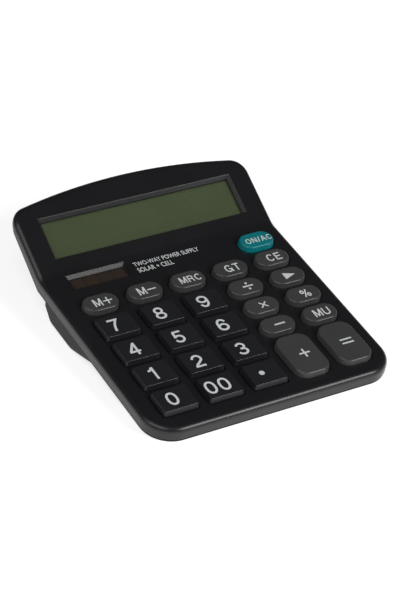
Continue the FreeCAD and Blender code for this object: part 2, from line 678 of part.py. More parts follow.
def foot(name, place, radius, top, bottom):
    """A disc with an upright axis, so that it stands flat on the desk. Heights are above the desk."""
    x, y = place
    ground = DECK.inverse().multVec(V(x, DECK.multVec(V(x, y, 0)).y, 0))
    disc = doc.addObject("Part::Cylinder", name)
    bind(disc, "Radius", radius)
    disc.Height = top - bottom
    disc.Placement = FreeCAD.Placement(ground, UPRIGHT) * at(0, 0, bottom)
    return disc


FOOT_TOPS = (size("foot_stand") + 0.6, size("foot_stand") + 0.9)
feet = []
foot_pockets = []
for i, place in enumerate(FEET):
    top = FOOT_TOPS[0] if i < 2 else FOOT_TOPS[1]
    feet.append(foot("foot_%d" % i, place, "foot_radius", top, 0.0))
    foot_pockets.append(foot("foot_pocket_%d" % i, place, "foot_radius + 0.1", top, -5.0))

belly_post = [cylinder("belly_post_%d" % i, x, y, -12.8, "3.0", "12.8 - lid_depth")
              for i, (x, y) in enumerate(CASE_SCREWS[2:])]
lower_outer = combine("MultiFuse", "lower_outer", [tray_blank, make_belly(), make_back()])
cell_walls = [box("cell_wall_" + side, x, ("cell_row - plate_half + 0.1", "97"), ("-12", "-6"))
              for side, x in (("left", ("-23.2", "-21.5")), ("right", ("28.1", "29.8")))]
trimmed = [combine("MultiCommon", "trimmed_%d" % i, [solid, lower_outer])
           for i, solid in enumerate(belly_post + cell_walls)]
lower_hollow = combine("MultiFuse", "lower_hollow", [belly_hollow, back_hollow])
lower_shell = combine("Cut", "lower_shell", [lower_outer, lower_hollow])
lower_solid = combine("MultiFuse", "lower_solid", [lower_shell] + lower_posts + trimmed)
DOOR_HOLE = box("door_hole", ("door_left", "door_right"), ("door_front", "door_rear"), ("-20", "-10.5"))
lower_cuts = combine("MultiFuse", "lower_cuts", screw_seats + foot_pockets + [DOOR_HOLE])
keep("lower_housing", combine("Cut", "lower_housing", [lower_solid, lower_cuts]), at(0, 0, 0))

# ---------------------------------------------------------------- battery door
door_space = box("door_space", ("door_left + door_gap", "door_right - door_gap"),
                 ("door_front + door_gap", "door_rear - door_gap"), ("-20", "-10.55"))
door_panel = combine("MultiCommon", "door_panel", [lower_shell, door_space])
GRIP_COUNT = 4
grips = []
for i in range(GRIP_COUNT):
    grips.append(box("door_grip_%d" % i, ("door_left + 4 + %d" % (i * 2), "door_left + 5 + %d" % (i * 2)),
                     ("81", "89"), ("-16", "-14.55")))
latch = box("door_latch", ("door_left + 1", "door_left + 4.5"), ("84", "88"), ("-13.6", "-11.2"))
door_body = combine("MultiFuse", "door_body", [door_panel, latch])
door_grips = combine("MultiFuse", "door_grips", grips)
keep("battery_door", combine("Cut", "battery_door", [door_body, door_grips]), at(0, 0, 0))

# ---------------------------------------------------------------- display stack
window = box("window_pane", ("-49", "49"), ("7", "28.4"), ("-wall - 0.85", "-wall - 0.05"))
keep("display_window", window, HEAD_IN_DECK)
keep("lcd_panel", box("lcd_glass", ("-48.3", "48.3"), ("7.6", "28"), ("-4.5", "-2.7")), HEAD_IN_DECK)


def frame_of(name, outer, inner, z, cuts=None):
    """A flat rectangular frame. outer and inner are (half width, front, rear)."""
    plate = box(name + "_plate", ("-" + outer[0], outer[0]), outer[1:], z)
    gap = box(name + "_gap", ("-" + inner[0], inner[0]), inner[1:], ("-30", "30"))
    cutter = combine("MultiFuse", name + "_cutter", [gap] + cuts) if cuts else gap
    return combine("Cut", name, [plate, cutter])


keep("lcd_cushion", frame_of("lcd_cushion", ("39", "11.2", "27"), ("36", "13.2", "25"), ("-5.35", "-4.55")),
     HEAD_IN_DECK)
holder_holes = [cylinder("holder_hole_%d" % i, x, y, -10, "0.85", "10")
                for i, (x, y) in enumerate(HOLDER_SCREWS)]
keep("lcd_holder",
     frame_of("lcd_holder", ("39.5", "4", "31.3"), ("34", "14", "24"), ("-6.2", "-5.4"), holder_holes),
     HEAD_IN_DECK)

RIBBON = 0.15                         # ribbon thickness
RIBBON_PATH = [(79.0, -5.44), (84.5, -5.65), (99.0, -5.65), (107.0, -2.8), (112.8, -0.25)]
lower_edge = [(y, z - RIBBON) for y, z in reversed(RIBBON_PATH)]
ribbon_sketch = free_sketch("ribbon_section", FreeCAD.Placement(V(0, 0, 0), SIDE_ON))
draw_polygon(ribbon_sketch, as_text(RIBBON_PATH + lower_edge))
keep("lcd_ribbon", extrude("lcd_ribbon", ribbon_sketch, V(1, 0, 0), "-32", "47"))

# ---------------------------------------------------------------- solar cell, board and key mat
keep("solar_cell", box(
    "solar_glass",
    ("solar_middle - solar_width / 2 + 0.7", "solar_middle + solar_width / 2 - 0.7"),
    ("solar_front + 0.4", "solar_rear - 0.3"),
    ("-wall - 1.25", "-wall - 0.05"),
))


def key_sheet(name, half_width, front, rear, inset, z):
    """A sheet under all the keys, with a tab that reaches the switch-on key."""
    main = box(name + "_main", ("-(%s)" % half_width, half_width), (front, rear), z)
    tab = box(name + "_tab", ("33 + %s" % inset, half_width), (rear + " - 1", "98.5 - %s" % inset), z)
    return combine("MultiFuse", name + "_sheet", [main, tab])


def post_holes(name, screw_radius, stake_radius):
    holes = [cylinder("%s_screw_%d" % (name, i), x, y, -20, screw_radius, "30")
             for i, (x, y) in enumerate(BOARD_SCREWS)]
    return holes + [cylinder("%s_stake_%d" % (name, i), x, y, -20, stake_radius, "30")
                    for i, (x, y) in enumerate(STAKES)]


board_blank = key_sheet("board", "board_side", "board_front", "board_rear", "0",
                        ("-board_top - board_thick", "-board_top"))
board_cuts = combine("MultiFuse", "board_cuts", post_holes("board_hole", "1.15", "1.4"))
keep("main_board", combine("Cut", "main_board", [board_blank, board_cuts]))

mat_sheet = key_sheet("mat", "board_side - 1", "board_front + 1", "board_rear - 0.4", "0.5",
                      ("-mat_top - mat_thick", "-mat_top"))
DOME_RISE = 0.15
PAD_THICK = 0.25
MAT_TOP = size("mat_top")
MAT_FOOT = size("mat_top + mat_thick")
domes = [cylinder(name + "_dome", x, y, -MAT_TOP - 0.1, "pad_radius + 1.2", str(0.1 + DOME_RISE))
         for name, _, x, y in KEYS]
pad_pockets = [cylinder(name + "_pocket", x, y, -MAT_FOOT - 0.01, "pad_radius + 0.02", str(PAD_THICK + 0.02))
               for name, _, x, y in KEYS]
mat_blank = combine("MultiFuse", "mat_blank", [mat_sheet] + domes)
mat_cuts = combine("MultiFuse", "mat_cuts", post_holes("mat_hole", "1.8", "1.5") + pad_pockets)
keep("rubber_keypad", combine("Cut", "rubber_keypad", [mat_blank, mat_cuts]))
keep("carbon_pads", gather("carbon_pads", [
    cylinder(name + "_pad", x, y, -MAT_FOOT, "pad_radius", str(PAD_THICK)) for name, _, x, y in KEYS]))

BOARD_FOOT = size("board_top + board_thick")
blob = cylinder("blob_disc", -42.0, 70.5, -BOARD_FOOT - 1.3, "5.5", "1.3")


def blob_rim(edge):
    return abs(edge.BoundBox.ZMax + BOARD_FOOT + 1.3) < 0.01 and edge.BoundBox.XLength > 5


keep("chip_blob", rounded("chip_blob", blob, "key_edge + 0.4", blob_rim))

# ---------------------------------------------------------------- small electrical parts under the board
ALONG_X = FreeCAD.Rotation(V(0, 1, 0), 90)


def rod(name, x, y, z, radius, length):
    """A cylinder lying along X, starting at the point x, y, z on its axis."""
    solid = doc.addObject("Part::Cylinder", name)
    bind(solid, "Radius", radius)
    bind(solid, "Height", length)
    solid.Placement = FreeCAD.Placement(V(x, y, z), ALONG_X)
    return solid


keep("smoothing_capacitor", rod("capacitor_can", 2.0, 78.6, -BOARD_FOOT - 2.55, "2.5", "7"))
keep("resistors", gather("resistors", [
    rod("resistor_%d" % i, 18.0, 63.5 + 3.2 * i, -BOARD_FOOT - 0.9, "0.8", "4") for i in range(3)]))

# ---------------------------------------------------------------- battery and its contacts
CELL = (size("cell_row"), -size("cell_drop"))
can = rod("cell_can", size("cell_left"), CELL[0], CELL[1], "cell_radius", "cell_length")
nub = rod("cell_nub", size("cell_left + cell_length") - 0.5, CELL[0], CELL[1], "1.9", "1.3")
keep("aaa_cell", combine("MultiFuse", "aaa_cell", [can, nub]))

PLATE_SPAN = ("cell_row - plate_half", "cell_row + plate_half")
PLATE_HEIGHT = ("-plate_foot", "-plate_top")
keep("negative_plate", box(
    "negative_contact",
    ("cell_left - spring_room - plate_thick", "cell_left - spring_room"),
    PLATE_SPAN, PLATE_HEIGHT,
))
keep("positive_plate", box(
    "positive_contact",
    ("cell_left + cell_length + nub_reach", "cell_left + cell_length + nub_reach + plate_thick"),
    PLATE_SPAN, PLATE_HEIGHT,
))
SPRING_WIRE = 0.3                     # the spring wire's radius
coil = doc.addObject("Part::Helix", "spring_coil")
coil.Pitch = 1.1
coil.Height = 3.3
coil.Radius = 2.6
coil.SegmentLength = 0.25             # quarter turns
ring = doc.addObject("Part::Circle", "spring_wire")
ring.Radius = SPRING_WIRE
ring.Placement = FreeCAD.Placement(V(coil.Radius, 0, 0), FreeCAD.Rotation(V(1, 0, 0), 90))
doc.recompute()
spring = doc.addObject("Part::Sweep", "battery_spring")
spring.Sections = [ring]
spring.Spine = (coil, ["Edge%d" % (i + 1) for i in range(len(coil.Shape.Edges))])
spring.Solid = True
spring.Frenet = True
SPRING_START = size("cell_left - spring_room") + SPRING_WIRE + 0.02
keep("battery_spring", spring, FreeCAD.Placement(V(SPRING_START, CELL[0], CELL[1]), ALONG_X))


# ---------------------------------------------------------------- leads inside the case
def lead_wire(points, bend):
    """Straight runs between points, joined by tangent arcs of radius bend."""
    edges = []
    start = points[0]
    for before, corner, after in zip(points, points[1:], points[2:]):
        back = (before - corner).normalize()
        on = (after - corner).normalize()
        turn = math.pi - back.getAngle(on)
        setback = bend * math.tan(turn / 2)
        first = corner + back * setback
        last = corner + on * setback
        bisector = (back + on).normalize()
        middle = corner + bisector * (bend / math.cos(turn / 2) - bend)
        edges.append(Part.LineSegment(start, first).toShape())
        edges.append(Part.Arc(first, middle, last).toShape())
        start = last
    edges.append(Part.LineSegment(start, points[-1]).toShape())
    return Part.Wire(edges)


def make_lead(name, points, radius=0.4, bend=1.2):
    path = lead_wire([V(*point) for point in points], bend)
    first = path.Edges[0]
    section = Part.Wire(Part.makeCircle(radius, first.valueAt(first.FirstParameter),
                                        first.tangentAt(first.FirstParameter)))
    lead = doc.addObject("Part::Feature", name)
    lead.Shape = path.makePipeShell([section], True, True)
    expected = math.pi * radius ** 2 * path.Length
    if abs(lead.Shape.Volume / expected - 1) > 0.02:
        raise RuntimeError("%s has the wrong volume" % name)
    return keep(name, lead)


UNDER = -BOARD_FOOT                   # the board's underside, where the leads are soldered
PLATE_EDGE = size("cell_row - plate_half")
for color, x, inward in (
    ("black", size("cell_left - spring_room - plate_thick / 2"), 4.2),
    ("red", size("cell_left + cell_length + nub_reach + plate_thick / 2"), -4.25),
):
    make_lead("battery_lead_" + color, [(x, PLATE_EDGE, -6.6), (x, 79.0, -7.4), (x + inward, 75.5, -7.4),
                                        (x + inward, 75.5, UNDER)])
for color, x in (("black", -27.5), ("red", -25.0)):
    make_lead("solar_lead_" + color, [(x, 93.5, -3.05), (x, 93.5, -6.9), (x, 86.0, -7.4), (x, 79.5, -7.4),
                                      (x, 79.5, UNDER)])

# ---------------------------------------------------------------- fasteners and feet
def make_screw(name, x, y, seat, head_thick, reach, shank="screw_radius - 0.03", head="head_radius"):
    """A screw whose head hangs below seat and whose shank rises by reach above it."""
    cap = cylinder(name + "_head", x, y, seat - head_thick, head, str(head_thick))
    stem = cylinder(name + "_shank", x, y, seat - head_thick / 2, shank, str(reach + head_thick / 2))
    depth = ("%.2f" % (seat - head_thick - 1), "%.2f" % (seat - head_thick + 0.25))
    bars = []
    for half_x, half_y in ((0.9, 0.2), (0.2, 0.9)):
        bars.append(box("%s_bar_%d" % (name, len(bars)),
                        ("%.2f" % (x - half_x), "%.2f" % (x + half_x)),
                        ("%.2f" % (y - half_y), "%.2f" % (y + half_y)), depth))
    solid = combine("MultiFuse", name + "_solid", [cap, stem])
    drive = combine("MultiFuse", name + "_drive", bars)
    return combine("Cut", name, [solid, drive])


board_screws = [make_screw("board_screw_%d" % i, x, y, -BOARD_FOOT, 1.0, 3.6, head="head_radius - 0.2")
                for i, (x, y) in enumerate(BOARD_SCREWS)]
keep("board_screws", gather("board_screws", board_screws))
case_screws = [make_screw("case_screw_%d" % i, x, y, CASE_SEAT, 0.55, 4.4)
               for i, (x, y) in enumerate(CASE_SCREWS)]
case_screws += [in_head(make_screw("head_screw_%d" % i, x, y, HEAD_SEAT, 0.55, 5.0))
                for i, (x, y) in enumerate(HEAD_SCREWS)]
keep("case_screws", gather("case_screws", case_screws))
keep("lcd_holder_screws", gather("lcd_holder_screws", [
    make_screw("holder_screw_%d" % i, x, y, -6.2, 0.5, 4.2, "0.67", "1.3")
    for i, (x, y) in enumerate(HOLDER_SCREWS)]), HEAD_IN_DECK)
keep("rubber_feet", gather("rubber_feet", feet))

# ---------------------------------------------------------------- placing, checking and writing
doc.recompute()


def place_all(frame):
    for thing, local in node_objects.values():
        own = HOMES[thing.Name] if local is None else local * HOMES[thing.Name]
        thing.Placement = frame * own
    doc.recompute()


HOMES = {thing.Name: (FreeCAD.Placement() if thing.TypeId == "PartDesign::Body" else thing.Placement)
         for thing, _ in node_objects.values()}
place_all(DECK)
shell_box = node_objects["upper_housing"][0].Shape.optimalBoundingBox()
shell_box.add(node_objects["lower_housing"][0].Shape.optimalBoundingBox())
DECK.Base = DECK.Base - V(0, shell_box.Center.y, 0)
place_all(DECK)

for thing in doc.Objects:
    if "Invalid" in thing.State or "Error" in thing.State:
        raise RuntimeError("%s did not compute" % thing.Name)
os.makedirs("parts", exist_ok=True)
for name, (thing, _) in node_objects.items():
    if thing.Shape.isNull() or not thing.Shape.isValid() or thing.Shape.Volume <= 0:
        raise RuntimeError("%s has no valid solid" % name)
    thing.Shape.exportStep("parts/%s.step" % name)
    print("%-22s %9.1f mm3 %3d solids" % (name, thing.Shape.Volume, len(thing.Shape.Solids)))
print("nodes", len(node_objects), "deck origin", tuple(round(c, 3) for c in DECK.Base))
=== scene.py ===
import json
import math

import bmesh
import bpy
from mathutils import Matrix, Vector


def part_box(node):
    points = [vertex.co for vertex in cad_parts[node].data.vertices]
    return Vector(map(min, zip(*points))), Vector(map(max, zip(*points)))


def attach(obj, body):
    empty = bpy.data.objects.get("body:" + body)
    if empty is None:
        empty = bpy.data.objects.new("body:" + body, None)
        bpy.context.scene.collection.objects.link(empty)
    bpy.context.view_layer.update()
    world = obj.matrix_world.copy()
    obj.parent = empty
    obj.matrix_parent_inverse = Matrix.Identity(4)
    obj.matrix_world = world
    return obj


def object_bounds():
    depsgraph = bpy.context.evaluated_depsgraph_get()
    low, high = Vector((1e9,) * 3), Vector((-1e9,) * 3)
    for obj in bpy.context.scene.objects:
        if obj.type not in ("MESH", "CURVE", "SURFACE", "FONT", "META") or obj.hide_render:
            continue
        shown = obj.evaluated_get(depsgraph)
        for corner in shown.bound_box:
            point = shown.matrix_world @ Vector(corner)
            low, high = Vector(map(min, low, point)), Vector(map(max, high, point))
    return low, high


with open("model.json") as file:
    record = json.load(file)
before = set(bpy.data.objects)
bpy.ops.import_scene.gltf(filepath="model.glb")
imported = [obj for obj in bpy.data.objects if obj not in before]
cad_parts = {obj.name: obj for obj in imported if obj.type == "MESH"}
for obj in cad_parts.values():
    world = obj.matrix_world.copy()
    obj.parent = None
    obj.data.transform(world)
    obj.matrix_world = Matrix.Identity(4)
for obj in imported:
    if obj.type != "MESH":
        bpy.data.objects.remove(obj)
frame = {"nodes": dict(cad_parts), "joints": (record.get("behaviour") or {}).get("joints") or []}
cad_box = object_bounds()
nodes = frame["nodes"]
scene = bpy.context.scene
MM = 0.001

# ---------------------------------------------------------------- camera
AIM = Vector((-0.0052, -0.0105, 0.0200))       # the point that the camera looks at
DISTANCE = 0.926
AZIMUTH, ELEVATION, ROLL = (math.radians(angle) for angle in (325.78, 34.23, 6.0))
SENSOR_WIDTH, LENS = 36.0, 197.5               # millimetres, as Blender counts them


def add_camera():
    forward = Vector((-math.sin(AZIMUTH) * math.cos(ELEVATION),
                      math.cos(AZIMUTH) * math.cos(ELEVATION),
                      -math.sin(ELEVATION)))
    level_right = forward.cross(Vector((0, 0, 1))).normalized()
    level_up = level_right.cross(forward)
    right = level_right * math.cos(ROLL) + level_up * math.sin(ROLL)
    up = right.cross(forward)
    data = bpy.data.cameras.new("camera")
    data.sensor_fit = "HORIZONTAL"
    data.sensor_width = SENSOR_WIDTH
    data.lens = LENS
    camera = bpy.data.objects.new("camera", data)
    axes = Matrix((right, up, -forward)).transposed().to_4x4()
    camera.matrix_world = Matrix.Translation(AIM - forward * DISTANCE) @ axes
    scene.collection.objects.link(camera)
    scene.camera = camera


add_camera()

# ---------------------------------------------------------------- axes of the keypad
press = next(joint for joint in frame["joints"] if joint["name"] == "key_5_press")
DECK_UP = -Vector(press["axis"]).normalized()   # out of the keypad
RIGHT = Vector((1, 0, 0))
DECK_BACK = DECK_UP.cross(RIGHT).normalized()   # along the keypad, away from the front edge


def corners(node):
    return [vertex.co.copy() for vertex in nodes[node].data.vertices]


def top_of(node, up, back):
    """The middle of a node's highest flat face, measured along up and back."""
    points = corners(node)
    height = max(point.dot(up) for point in points)
    rim = [point for point in points if height - point.dot(up) < 0.02 * MM]
    xs = [point.dot(RIGHT) for point in rim]
    ys = [point.dot(back) for point in rim]
    return RIGHT * (min(xs) + max(xs)) / 2 + back * (min(ys) + max(ys)) / 2 + up * height


# ---------------------------------------------------------------- materials
class Graph:
    """A short way to write a material's nodes."""

    def __init__(self, name):
        self.material = bpy.data.materials.new(name)
        self.material.use_nodes = True
        self.tree = self.material.node_tree
        self.shader = self.tree.nodes["Principled BSDF"]
        self.coord = self.tree.nodes.new("ShaderNodeTexCoord").outputs["Object"]

    def join(self, source, target):
        self.tree.links.new(source, target)

    def noise(self, scale, detail=2.0, roughness=0.5):
        node = self.tree.nodes.new("ShaderNodeTexNoise")
        node.inputs["Scale"].default_value = scale
        node.inputs["Detail"].default_value = detail
        node.inputs["Roughness"].default_value = roughness
        self.join(self.coord, node.inputs["Vector"])
        return node.outputs["Fac"]

    def spread(self, value, low, high, start=0.0, end=1.0):
        node = self.tree.nodes.new("ShaderNodeMapRange")
        node.inputs["From Min"].default_value = start
        node.inputs["From Max"].default_value = end
        node.inputs["To Min"].default_value = low
        node.inputs["To Max"].default_value = high
        self.join(value, node.inputs["Value"])
        return node.outputs["Result"]

    def bands(self, value, stops):
        """Flat bands of colour, each from its own stop to the next."""
        node = self.tree.nodes.new("ShaderNodeValToRGB")
        node.color_ramp.interpolation = "CONSTANT"
        elements = node.color_ramp.elements
        while len(elements) < len(stops):
            elements.new(0.5)
        for element, (place, colour) in zip(elements, stops):
            element.position = place
            element.color = (*colour, 1.0)
        self.join(value, node.inputs["Fac"])
        return node.outputs["Color"]

    def mix(self, factor, first, second):
        node = self.tree.nodes.new("ShaderNodeMix")
        node.data_type = "RGBA"
        self.join(factor, node.inputs["Factor"])
        for value, socket in ((first, node.inputs["A"]), (second, node.inputs["B"])):
            if isinstance(value, tuple):
                socket.default_value = (*value, 1.0)
            else:
                self.join(value, socket)
        return node.outputs["Result"]

    def maths(self, kind, first, second):
        node = self.tree.nodes.new("ShaderNodeMath")
        node.operation = kind
        for value, socket in ((first, node.inputs[0]), (second, node.inputs[1])):
            if isinstance(value, float):
                socket.default_value = value
            else:
                self.join(value, socket)
        return node.outputs[0]

    def along(self, axis):
        node = self.tree.nodes.new("ShaderNodeSeparateXYZ")
        self.join(self.coord, node.inputs[0])
        return node.outputs[axis]

    def soft_edges(self, radius):
        """The normal with every sharp edge rounded by radius."""
        node = self.tree.nodes.new("ShaderNodeBevel")
        node.samples = 6
        node.inputs["Radius"].default_value = radius
        return node.outputs["Normal"]

    def edge_mask(self, rounded, low, high):
        """1 on worn edges and 0 on flat faces."""
        geometry = self.tree.nodes.new("ShaderNodeNewGeometry")
        dot = self.tree.nodes.new("ShaderNodeVectorMath")
        dot.operation = "DOT_PRODUCT"
        self.join(rounded, dot.inputs[0])
        self.join(geometry.outputs["Normal"], dot.inputs[1])
        return self.spread(dot.outputs["Value"], 1.0, 0.0, low, high)

    def bump(self, height, distance, strength, base=None):
        node = self.tree.nodes.new("ShaderNodeBump")
        node.inputs["Strength"].default_value = strength
        node.inputs["Distance"].default_value = distance
        self.join(height, node.inputs["Height"])
        if base is not None:
            self.join(base, node.inputs["Normal"])
        self.join(node.outputs["Normal"], self.shader.inputs["Normal"])

    def set(self, **values):
        for name, value in values.items():
            socket = self.shader.inputs[name.replace("_", " ").title().replace("Ior", "IOR")]
            if isinstance(value, bpy.types.NodeSocket):
                self.join(value, socket)
            elif isinstance(value, tuple):
                socket.default_value = (*value, 1.0)
            else:
                socket.default_value = value


def scaled(colour, factor):
    return tuple(min(1.0, channel * factor) for channel in colour)


GRAIN_SIZE = 0.35 * MM                # of the moulded plastic


def moulded(name, colour, roughness, grain=0.25, worn=1.5, edge=0.25 * MM, specular=0.5):
    """Moulded plastic: a fine spark-eroded grain, faint flow marks and edges polished by handling."""
    graph = Graph(name)
    rounded = graph.soft_edges(edge)
    cloud = graph.noise(45.0, 3.0)
    mask = graph.edge_mask(rounded, 0.80, 0.99)
    patchy = graph.maths("MULTIPLY", mask, graph.spread(graph.noise(260.0), 0.25, 1.0, 0.35, 0.65))
    body = graph.mix(graph.spread(cloud, 0.0, 1.0, 0.3, 0.7), scaled(colour, 0.92), scaled(colour, 1.08))
    graph.set(base_color=graph.mix(patchy, body, scaled(colour, worn)),
              roughness=graph.maths("SUBTRACT", graph.spread(cloud, roughness - 0.04, roughness + 0.04),
                                    graph.maths("MULTIPLY", patchy, 0.08)),
              specular_ior_level=specular)
    graph.bump(graph.noise(1.0 / GRAIN_SIZE, 4.0, 0.6), 0.02 * MM, grain, rounded)
    return graph.material


BLACK = (0.0098, 0.0099, 0.0116)
CHARCOAL = (0.056, 0.055, 0.0545)
TEAL = (0.002, 0.21, 0.235)
WHITE_INK = (0.76, 0.79, 0.79)


def lcd_material():
    """The olive polariser, with a faint cloudy change in its tone."""
    graph = Graph("lcd_polariser")
    cloud = graph.noise(60.0, 2.0)
    colour = graph.mix(graph.spread(cloud, 0.0, 1.0, 0.3, 0.7), (0.082, 0.107, 0.052),
                       (0.089, 0.114, 0.057))
    graph.set(base_color=colour, roughness=0.36, specular_ior_level=0.35)
    graph.bump(graph.noise(9000.0), 0.01 * MM, 0.1)
    return graph.material


def pane_material():
    """Clear acrylic: nearly all of it lets light through, and its surface is glossy."""
    graph = Graph("clear_acrylic")
    haze = graph.noise(120.0, 3.0)
    graph.set(base_color=graph.mix(haze, (0.02, 0.02, 0.02), (0.03, 0.03, 0.03)),
              roughness=graph.spread(haze, 0.05, 0.10), alpha=0.05, specular_ior_level=0.6)
    graph.bump(graph.noise(4000.0), 0.005 * MM, 0.1)
    graph.material.surface_render_method = "DITHERED"
    return graph.material


def solar_material():
    """Amorphous silicon under glass: brown, with darker strips where the cells join."""
    low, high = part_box("solar_cell")
    strip = (high.x - low.x) / 4
    graph = Graph("solar_glass")
    cloud = graph.noise(400.0, 3.0)
    place = graph.maths("SUBTRACT", graph.along("X"), low.x)
    away_from_join = graph.spread(graph.maths("PINGPONG", place, strip / 2), 0.0, 1.0, 0.1 * MM, 0.25 * MM)
    brown = graph.mix(cloud, (0.026, 0.0165, 0.0115), (0.040, 0.026, 0.018))
    colour = graph.mix(away_from_join, (0.014, 0.010, 0.008), brown)
    graph.set(base_color=colour, roughness=graph.spread(cloud, 0.10, 0.18), coat_weight=0.5,
              coat_roughness=0.05)
    graph.bump(cloud, 0.01 * MM, 0.1)
    return graph.material


def mottled(name, dark, light, roughness, metallic=0.0, scale=600.0, bump=0.15, size=0.02 * MM, **more):
    """A plain material with cloudy colour, uneven gloss and a fine relief."""
    graph = Graph(name)
    cloud = graph.noise(scale, 4.0, 0.6)
    graph.set(base_color=graph.mix(graph.spread(cloud, 0.0, 1.0, 0.3, 0.7), dark, light),
              roughness=graph.spread(cloud, max(0.03, roughness - 0.07), roughness + 0.07),
              metallic=metallic, **more)
    graph.bump(graph.noise(scale * 4, 3.0), size, bump)
    return graph.material


def striped(name, axis, pitch, dark, light, roughness, share=0.5, metallic=0.0):
    """Parallel stripes across one axis: conductors, sleeves or turned metal."""
    graph = Graph(name)
    phase = graph.maths("PINGPONG", graph.along(axis), pitch / 2)
    stripe = graph.spread(phase, 0.0, 1.0, pitch / 2 * (share - 0.1), pitch / 2 * (share + 0.1))
    graph.set(base_color=graph.mix(stripe, dark, light), roughness=roughness, metallic=metallic)
    graph.bump(stripe, 0.02 * MM, 0.3)
    return graph.material


def board_material():
    """Green lacquer over copper tracks, which show as slightly raised lighter lines."""
    graph = Graph("circuit_board")
    bricks = graph.tree.nodes.new("ShaderNodeTexBrick")
    bricks.inputs["Scale"].default_value = 160.0
    bricks.inputs["Mortar Size"].default_value = 0.09
    bricks.inputs["Mortar Smooth"].default_value = 0.3
    bricks.inputs["Color1"].default_value = (0.0, 0.0, 0.0, 1.0)
    bricks.inputs["Color2"].default_value = (0.0, 0.0, 0.0, 1.0)
    bricks.inputs["Mortar"].default_value = (1.0, 1.0, 1.0, 1.0)
    graph.join(graph.coord, bricks.inputs["Vector"])
    tracks = bricks.outputs["Color"]
    graph.set(base_color=graph.mix(tracks, (0.010, 0.075, 0.028), (0.020, 0.145, 0.045)), roughness=0.32,
              specular_ior_level=0.5)
    graph.bump(tracks, 0.03 * MM, 0.4)
    return graph.material


def cell_material():
    """The battery's printed sleeve: dark with a copper band at the positive end, steel at both ends."""
    low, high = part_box("aaa_cell")
    graph = Graph("battery_sleeve")
    place = graph.spread(graph.along("X"), 0.0, 1.0, low.x, high.x)
    steel, dark, copper = (0.55, 0.55, 0.56), (0.012, 0.012, 0.014), (0.50, 0.19, 0.06)
    sleeve = graph.bands(place, [(0.0, steel), (0.02, dark), (0.70, copper), (0.955, steel)])
    graph.set(base_color=sleeve, roughness=graph.spread(graph.noise(500.0, 3.0), 0.22, 0.34), metallic=0.6)
    graph.bump(graph.noise(2500.0), 0.01 * MM, 0.15)
    return graph.material


MATERIALS = {
    "upper_shell": moulded("black_abs", BLACK, roughness=0.31, worn=1.6, edge=0.45 * MM, specular=0.45),
    "lower_shell": moulded("black_abs_lower", BLACK, roughness=0.50, grain=0.35, specular=0.22),
    "digit_key": moulded("black_key", scaled(BLACK, 1.6), roughness=0.27, grain=0.04, worn=1.2,
                         edge=0.2 * MM, specular=0.4),
    "function_key": moulded("charcoal_key", CHARCOAL, roughness=0.30, grain=0.15, worn=1.3,
                            specular=0.45),
    "teal_key": moulded("teal_key", TEAL, roughness=0.36, grain=0.15, worn=1.25),
    "window": pane_material(),
    "lcd": lcd_material(),
    "foam": mottled("black_foam", (0.012, 0.012, 0.012), (0.05, 0.05, 0.05), 0.9, scale=2500.0, bump=0.9,
                    size=0.1 * MM),
    "ribbon": striped("flat_ribbon", "X", 1.2 * MM, (0.10, 0.07, 0.04), (0.62, 0.60, 0.55), 0.35),
    "solar": solar_material(),
    "board": board_material(),
    "silicone": mottled("grey_silicone", (0.20, 0.21, 0.21), (0.25, 0.26, 0.26), 0.62, scale=300.0),
    "carbon": mottled("carbon_pad", (0.008, 0.008, 0.008), (0.02, 0.02, 0.02), 0.8, scale=1500.0, bump=0.4),
    "epoxy": mottled("black_epoxy", (0.006, 0.006, 0.006), (0.012, 0.012, 0.012), 0.22, scale=200.0),
    "capacitor": striped("capacitor_sleeve", "X", 14.0 * MM, (0.02, 0.03, 0.09), (0.55, 0.57, 0.60), 0.3,
                         0.85),
    "resistor": striped("resistor_bands", "X", 1.3 * MM, (0.35, 0.05, 0.02), (0.55, 0.42, 0.25), 0.4, 0.35),
    "cell": cell_material(),
    "spring_steel": mottled("nickel_spring", (0.52, 0.52, 0.50), (0.68, 0.68, 0.66), 0.26, metallic=1.0),
    "lead_black": mottled("black_pvc", (0.010, 0.010, 0.010), (0.018, 0.018, 0.018), 0.38),
    "lead_red": mottled("red_pvc", (0.36, 0.012, 0.010), (0.45, 0.018, 0.014), 0.38),
    "screw": mottled("zinc_screw", (0.42, 0.42, 0.41), (0.58, 0.58, 0.56), 0.32, metallic=1.0, scale=1200.0),
    "feet": mottled("black_rubber", (0.014, 0.014, 0.014), (0.026, 0.026, 0.026), 0.78, scale=900.0, bump=0.5,
                    size=0.05 * MM),
}


def paint_nodes():
    """Every CAD node takes the material of its slot in the record."""
    for node in nodes.values():
        for place in node.material_slots:
            place.material = MATERIALS[place.material.name.split(".")[0]]


paint_nodes()

# ---------------------------------------------------------------- printed legends
LEGEND_GAP = 0.004 * MM               # the ink starts this far above the plastic
INK_THICK = 0.03 * MM
INK = mottled("white_ink", scaled(WHITE_INK, 0.94), WHITE_INK, 0.5, scale=1500.0, bump=0.1)


def new_piece(name, mesh, material, body):
    mesh.materials.clear()
    mesh.materials.append(material)
    piece = bpy.data.objects.new(name, mesh)
    scene.collection.objects.link(piece)
    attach(piece, body)


def text_mesh(words, squeeze):
    """Words in Blender's own font, as a thin flat mesh, narrowed by squeeze."""
    curve = bpy.data.curves.new("letters", "FONT")
    curve.body = words
    curve.offset = 0.008
    curve.extrude = 0.01
    letters = bpy.data.objects.new("letters", curve)
    mesh = bpy.data.meshes.new_from_object(letters)
    bpy.data.objects.remove(letters)
    bpy.data.curves.remove(curve)
    mesh.transform(Matrix.Diagonal((squeeze, 1.0, 1.0, 1.0)))
    return mesh


